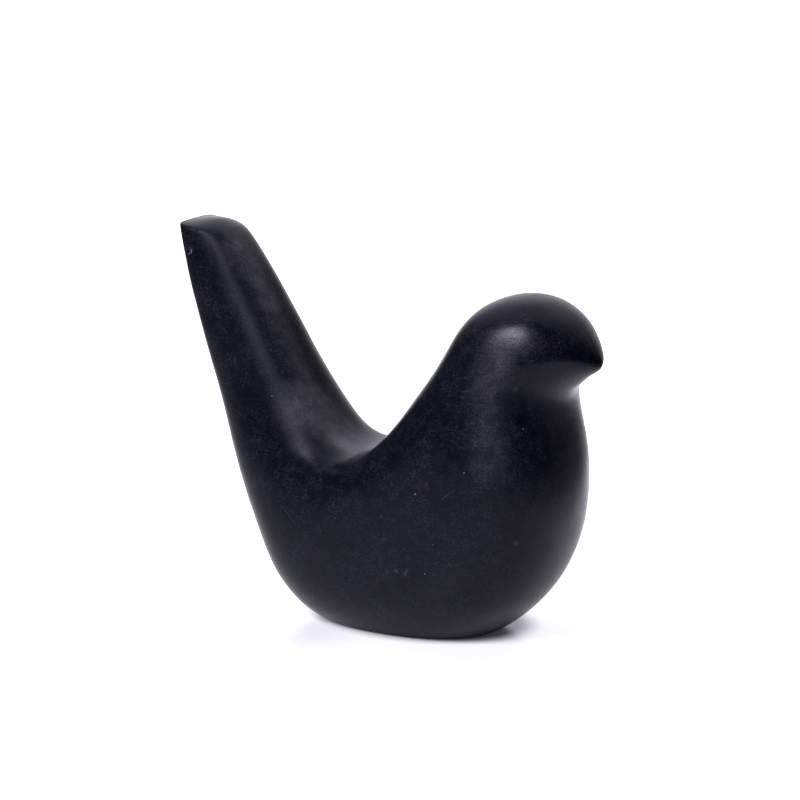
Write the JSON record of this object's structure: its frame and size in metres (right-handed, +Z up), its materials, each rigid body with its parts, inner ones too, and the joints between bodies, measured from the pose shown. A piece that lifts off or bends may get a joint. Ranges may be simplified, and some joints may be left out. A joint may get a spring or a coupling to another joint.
{
  "type": "bird statue",
  "caption": "Stylised bird carved from one block of black marble, tail raised high, head low with a blunt beak, standing on its flat-ground belly.",
  "frame": {"origin": "on the surface it stands on, under the middle of its length and width", "axes": "+X the way the bird faces, +Y its left side, +Z up"},
  "size_m": [0.1344, 0.0562, 0.1122],
  "materials": {
    "marble": "honed and waxed black marble, near-black with a blue cast and a soft sheen"
  },
  "bodies": {
    "root": {"bird": "marble"}
  },
  "joints": []
}
